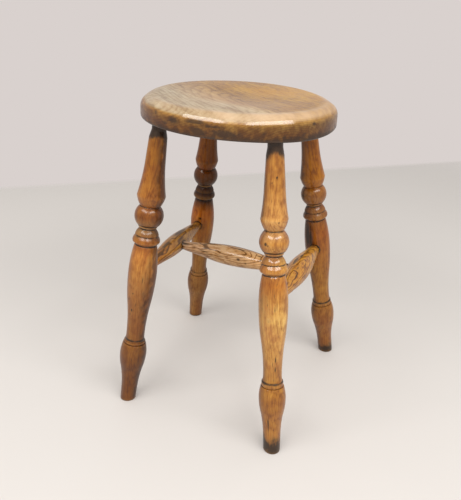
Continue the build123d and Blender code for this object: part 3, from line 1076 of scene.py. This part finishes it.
# The pattern of the three rods. Places are from the axis of the leg or rod at their front or left end.
turnedRod = {
    "straightShare": 0.62,
    "tenonShow": 1.5,
    "edgeWear": 0.4,
    "rows": 260,
    "bendShare": 0.8,
    "columns": 80,
    "oval": 0.008,
    "unevenness": 0.22,
    "waveLength": 70.0,
    "fadeLength": 12.0,  # from the end that shows, over which the marks of making and use come in
    "dents": 20,
    "dentWidth": (1.5, 5.0),
    "dentDepth": 0.5,
    "jointDarkReach": 3.0,
    "paleness": 0.4,
    "wood": {
        **turnedLeg["wood"],
        "pith": (60.0, 40.0),
        "pithLean": 0.12,
        "ringWidth": 3.6,
        "ringDepth": 0.8,
        "earlyShare": 0.2,
        "wander": 16.0,
        "wanderSize": 20.0,
        "wanderStretch": 3.0,
        "fibreSize": 1.0,
        "fibreDepth": 0.8,
        "mottleDepth": 1.8,
        "tones": (
            (0.0, screenColour(62, 36, 16)),
            (0.35, screenColour(128, 84, 40)),
            (0.6, screenColour(186, 136, 80)),
            (1.0, screenColour(220, 178, 120)),
        ),
        "driftColour": screenColour(150, 110, 60),
        "coat": 0.35,
        "coatRoughness": 0.14,
    },
}

# What differs from rod to rod, with stains, which carry painted light, and spots as on a leg. Directions are
# from the top, towards the right on the side rods and towards the front on the cross rod.
sideRods = {
    "left": {
        "belly": 32.0,
        "tenon": 15.0,
        "tenonLength": 26.0,
        "seed": 71,
        "stainsAndPaintedLight": ((50, (0.65, 0.43, 0.13)), (120, (0.47, 0.37, 0.14)), (230, (0.38, 0.27, 0.09))),
        "spots": (
            (80, 5, 16, 3.5, 1.1), (141, -5, 24, 4, 1.2), (185, 10, 14, 3.5, 1), (200, 30, 9, 3, 0.8),
            (110, 60, 25, 1, 0.9), (60, 95, 20, 2, 0.8), (230, 0, 12, 4, 0.8),
        ),
    },
    "right": {
        "belly": 37.3,
        "tenon": 18.0,
        "tenonLength": 26.0,
        "seed": 83,
        "stainsAndPaintedLight": ((50, (0.79, 0.57, 0.13)), (150, (0.79, 0.58, 0.15)), (230, (0.66, 0.51, 0.13))),
        "spots": (
            (120, -15, 16, 2.5, 1.2), (142, -5, 9, 2, 1), (60, -10, 14, 1.5, 0.9), (165, 80, 8, 2, 0.8),
            (95, 20, 6, 1, 0.9), (175, 0, 12, 1.5, 0.9),
        ),
    },
}
crossRod = {
    "belly": 34.4,
    "tenon": 14.5,
    "tenonLength": 20.0,
    "seed": 97,
    "stainsAndPaintedLight": (
        (20, (0.64, 0.63, 0.87)), (100, (0.75, 0.77, 0.96)), (160, (0.84, 0.80, 0.87)),
        (210, (0.72, 0.69, 0.72)),
    ),
    "spots": (
        (126, 76, 3, 2.2, 1), (139, 92, 1.8, 1.5, 1.2), (60, 75, 10, 1, 0.8), (75, 88, 12, 0.8, 0.8),
        (92, 80, 10, 0.9, 0.7), (110, -25, 70, 4.5, 1.1), (160, 20, 5, 1.5, 0.9), (60, 100, 18, 1, 0.8),
        (70, 0, 16, 2, 0.9), (125, 10, 14, 1.5, 0.8), (20, 40, 8, 2, 0.8), (40, 20, 10, 1.5, 0.8),
    ),
}


def rodOutline(rod, shape, span, hostRadii):
    # From the middle of one tenon's end to the other's: a straight taper, an arc over the belly, and back.
    # The taper rises (belly - tenon) share / (1 + share), so that it runs on into the arc
    lowNeck = hostRadii[0] + shape["tenonShow"]
    highNeck = span - hostRadii[1] - shape["tenonShow"]
    lowTip = hostRadii[0] - rod["tenonLength"]
    highTip = span - hostRadii[1] + rod["tenonLength"]
    middle = radiusAt(rod["belly"], (lowNeck + highNeck) / 2)
    curves = []
    taperEnds = []
    for neck, tip in ((lowNeck, lowTip), (highNeck, highTip)):
        half = middle.imag - neck
        rise = (rod["belly"] - rod["tenon"]) / (1 + shape["straightShare"]) * shape["straightShare"]
        taperEnd = rod["tenon"] / 2 + rise + 1j * (neck + shape["straightShare"] * half)
        corner = radiusAt(rod["tenon"], tip)
        taperEnds.append(taperEnd)
        curves.append([bow(1j * tip, corner), bow(corner, radiusAt(rod["tenon"], neck)),
                       bow(radiusAt(rod["tenon"], neck), taperEnd)])
    back = [curve[::-1] for curve in curves[1][::-1]]
    return softened([*curves[0], bowThrough(taperEnds[0], middle, taperEnds[1]), *back], shape["edgeWear"])


def makeRod(name, axis, rod, shape, hosts, hostRadii):
    # start + w along + radius (u cos around + v sin around) about the rod's axis. The radius is that of the
    # outline, times 1 + oval cos(2 around + seed), plus unevenness, less dents
    seed = rod["seed"]
    rows, = rowsOf(shape["rows"], shape["bendShare"], rodOutline(rod, shape, axis.length, hostRadii))
    around = directionsRound(shape["columns"])
    along = rows.imag[:, None] + 0 * around
    inside = np.minimum(along - hostRadii[0], axis.length - hostRadii[1] - along)
    shown = np.clip(inside / shape["fadeLength"], 0, 1)
    radius = rows.real[:, None] * (1 + shape["oval"] * shown * np.cos(2 * around + seed))
    radius += shape["unevenness"] * shown * slowWaves(along, around, seed, shape["waveLength"])
    radius -= shown * dents(along, around, radius, seed + 1, shape)
    points = axis.spun(radius, along, around + 0 * radius)
    ends = np.array([axis.at(hostRadii[0] - rod["tenonLength"]),
                     axis.at(axis.length - hostRadii[1] + rod["tenonLength"])])
    # dirt and painted shade round the joints
    dirtAndShade = jointDirtAndShade(points, hosts, shape["jointDarkReach"])
    marks = {
        "darkening": np.maximum(dirtAndShade, smudges(along, around, radius, rod["spots"])),
        "paleness": shown * shape["paleness"],
        "shade": 0.0,
        "stainAndPaintedLight": tintAt(along, rod["stainsAndPaintedLight"]),
        "dull": 0.0,
    }
    return skin(name, points, ends, marks)


def jointPlace(name):
    # Point on a leg's axis where its side rod is let in: the drop below the top of its body
    return legAxes[name].at(bodyTop + legs[name]["jointDrop"])


rodAxes = {side: Axis(jointPlace("front_" + side), jointPlace("back_" + side), (0, 0, 1))
           for side in sideRods}
middles = {side: axis.at(axis.length / 2) for side, axis in rodAxes.items()}
crossAxis = Axis(middles["left"], middles["right"], (0, 0, 1))

for name, own in legs.items():
    side = name.split("_")[1]
    pithTurn = math.radians(own["pithTurn"])
    pith = turnedLeg["wood"]["pithAway"] * np.array([math.cos(pithTurn), math.sin(pithTurn)])
    wood = {**turnedLeg["wood"], "pith": pith, **{key: own[key] for key in ("seed", "coat", "coatRoughness")}}
    rods = [(rodAxes[side], sideRods[side]["tenon"] / 2)]
    piece = makeLeg("turnedLeg_" + name, legAxes[name], turnedLeg, own, rods)
    addPiece(piece, "leg_" + name, woodFinish("waxedLeg_" + name, legAxes[name], wood))

for side, rod in sideRods.items():
    axis = rodAxes[side]
    hosts = [(legAxes[end + side], (turnedLeg["bodyDiameter"] + legs[end + side]["extra"]) / 2)
             for end in ("front_", "back_")]
    legRadii = tuple(radius for _, radius in hosts)
    hosts.append((crossAxis, crossRod["tenon"] / 2))
    piece = makeRod("sideRod_" + side, axis, rod, turnedRod, hosts, legRadii)
    wood = {**turnedRod["wood"], "seed": rod["seed"]}
    addPiece(piece, "side_stretcher_" + side, woodFinish("waxedRod_" + side, axis, wood))

crossHosts = [(rodAxes[side], sideRods[side]["belly"] / 2) for side in sideRods]
crossRadii = tuple(radius for _, radius in crossHosts)
piece = makeRod("crossRod", crossAxis, crossRod, turnedRod, crossHosts, crossRadii)
wood = {**turnedRod["wood"], "seed": crossRod["seed"]}
addPiece(piece, "cross_stretcher", woodFinish("waxedRod_cross", crossAxis, wood))


# From here on lengths are in metres, but for the lens and its sensor, and lamps are in watts
studio = {
    "floorColour": screenColour(211, 205, 199),
    "floorRoughness": 0.7,
    "floorSpecular": 0.25,
    "wallColour": screenColour(217, 209, 206),
    "wallDistance": 1.10,  # from the stool to where the floor fades into the wall
    "wallNormal": (-0.636, 0.771),
    "wallFade": (-0.02, 0.03),
    "floorRadius": 2.4,
    "floorFade": (0.6, 0.98),  # shares of its radius
    "ambient": 0.72,
}

lamps = {
    "left": {"azimuth": -27.0, "elevation": 44.0, "distance": 1.8,
             "width": 1.3, "height": 0.36, "power": 13.5},
    "middle": {"azimuth": 16.0, "elevation": 44.0, "distance": 1.8,
               "width": 1.3, "height": 0.36, "power": 4.0},
    "right": {"azimuth": 60.0, "elevation": 45.0, "distance": 1.8,
              "width": 1.5, "height": 0.36, "power": 17.0},
}
lampAim = (0, 0, 0.3)  # what they face, the middle of the stool

cameraPlace = {
    "fromSeat": (0.290391, -0.820595, 0.666318),  # from the foot of the seat's axis
    "turn": (64.213, -2.925, 20.944),
    "lens": 40.666,
    "sensorWidth": 36.0,
}


def makeFloor(look):
    # A flat square that turns clear where it meets the wall, past a line square to wallNormal, and near
    # its own edge: the larger of two slopes, on place . wallNormal and on the length of place
    reach = look["floorRadius"]
    mesh = bpy.data.meshes.new("floor")
    mesh.from_pydata([(-reach, -reach, 0), (reach, -reach, 0), (reach, reach, 0), (-reach, reach, 0)],
                     [], [(0, 1, 2, 3)])
    floor = bpy.data.objects.new("floor", mesh)
    bpy.context.scene.collection.objects.link(floor)
    material = bpy.data.materials.new("paleFloor")
    material.use_nodes = True
    tree = material.node_tree
    shader = tree.nodes["Principled BSDF"]
    shader.inputs["Base Color"].default_value = (*look["floorColour"], 1)
    shader.inputs["Roughness"].default_value = look["floorRoughness"]
    shader.inputs["Specular IOR Level"].default_value = look["floorSpecular"]
    place = put(tree, "TexCoord", {}, 3)
    towards = vectorCalc(tree, "DOT_PRODUCT", place, (*look["wallNormal"], 0), output=1)
    far = vectorCalc(tree, "LENGTH", place, output=1)
    pastWall = ranged(tree, towards, *(look["wallDistance"] + fade for fade in look["wallFade"]))
    pastEdge = ranged(tree, far, *(reach * share for share in look["floorFade"]))
    gone = calc(tree, "MAXIMUM", pastWall, pastEdge)
    clear = put(tree, "BsdfTransparent", {})
    mix = put(tree, "MixShader", {0: gone, 1: shader.outputs[0], 2: clear})
    tree.links.new(mix, tree.nodes["Material Output"].inputs[0])
    mesh.materials.append(material)


def makeWorld(look):
    # The wall's colour for the camera and for reflections, and a plain even light for the rest
    world = bpy.data.worlds.new("studio")
    bpy.context.scene.world = world
    world.use_nodes = True
    tree = world.node_tree
    light = tree.nodes["Background"]
    light.inputs[0].default_value = (1, 1, 1, 1)
    light.inputs[1].default_value = look["ambient"]
    wall = put(tree, "Background", {0: (*look["wallColour"], 1), 1: 1.0})
    path = tree.nodes.new("ShaderNodeLightPath")
    mirrored = calc(tree, "MAXIMUM", path.outputs["Is Glossy Ray"], path.outputs["Is Transmission Ray"])
    seen = calc(tree, "MAXIMUM", path.outputs["Is Camera Ray"], mirrored)
    mix = put(tree, "MixShader", {0: seen, 1: light.outputs[0], 2: wall})
    tree.links.new(mix, tree.nodes["World Output"].inputs[0])


def makeLamp(name, lamp):
    # A soft box at distance * (sin azimuth cos elevation, -cos azimuth cos elevation, sin elevation)
    # from what it faces
    azimuth, elevation = math.radians(lamp["azimuth"]), math.radians(lamp["elevation"])
    level = math.cos(elevation)
    back = Vector((math.sin(azimuth) * level, -math.cos(azimuth) * level, math.sin(elevation)))
    data = bpy.data.lights.new("softBox_" + name, "AREA")
    data.shape = "RECTANGLE"
    data.size = lamp["width"]
    data.size_y = lamp["height"]
    data.energy = lamp["power"]
    box = bpy.data.objects.new("softBox_" + name, data)
    box.location = Vector(lampAim) + back * lamp["distance"]
    box.rotation_euler = (-back).to_track_quat("-Z", "Y").to_euler()
    box.visible_camera = False
    bpy.context.scene.collection.objects.link(box)


makeFloor(studio)
makeWorld(studio)
for name, lamp in lamps.items():
    makeLamp(name, lamp)
print("set the floor, the wall and", len(lamps), "lamps")

cameraData = bpy.data.cameras.new("camera")
cameraData.sensor_fit = "AUTO"
cameraData.sensor_width = cameraPlace["sensorWidth"]
cameraData.lens = cameraPlace["lens"]
camera = bpy.data.objects.new("camera", cameraData)
camera.location = Vector((*seatCentre[:2] * metre, 0)) + Vector(cameraPlace["fromSeat"])
camera.rotation_euler = [math.radians(turn) for turn in cameraPlace["turn"]]
bpy.context.scene.collection.objects.link(camera)
bpy.context.scene.camera = camera
bpy.context.scene.view_settings.view_transform = "Standard"
print("set the camera")
